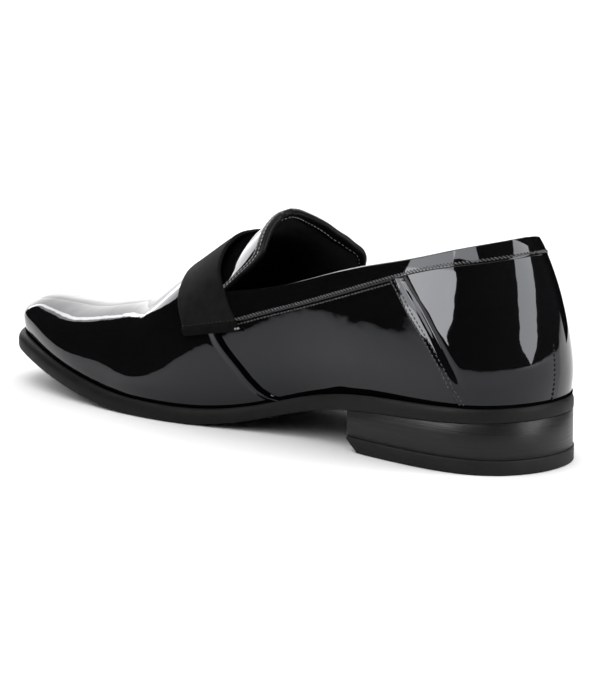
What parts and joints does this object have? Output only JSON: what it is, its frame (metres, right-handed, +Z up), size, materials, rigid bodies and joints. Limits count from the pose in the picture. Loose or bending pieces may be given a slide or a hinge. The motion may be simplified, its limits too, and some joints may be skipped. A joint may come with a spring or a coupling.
{
  "type": "patent leather loafer",
  "caption": "Slip-on dress shoe for the right foot: a glossy upper with a tongue, a flat strap over the instep, a sole with an arch and a springing toe, and a low block heel.",
  "frame": {"origin": "on the floor under the middle of the shoe's bounding box", "axes": "+Z up from the floor, -Y towards the toe, +X towards the inner side of the right foot"},
  "size_m": [0.0974, 0.3082, 0.0958],
  "materials": {
    "patent": "high-gloss patent",
    "ribbon": "matt ribbed weave",
    "lining": "matt",
    "sole": "matt",
    "stack": "satin, fine lines along the layers",
    "lift": "matt"
  },
  "bodies": {
    "root": {"upper": "patent", "strap": "ribbon", "insole": "lining", "outsole": "sole", "heel_stack": "stack", "top_lift": "lift"}
  },
  "joints": []
}
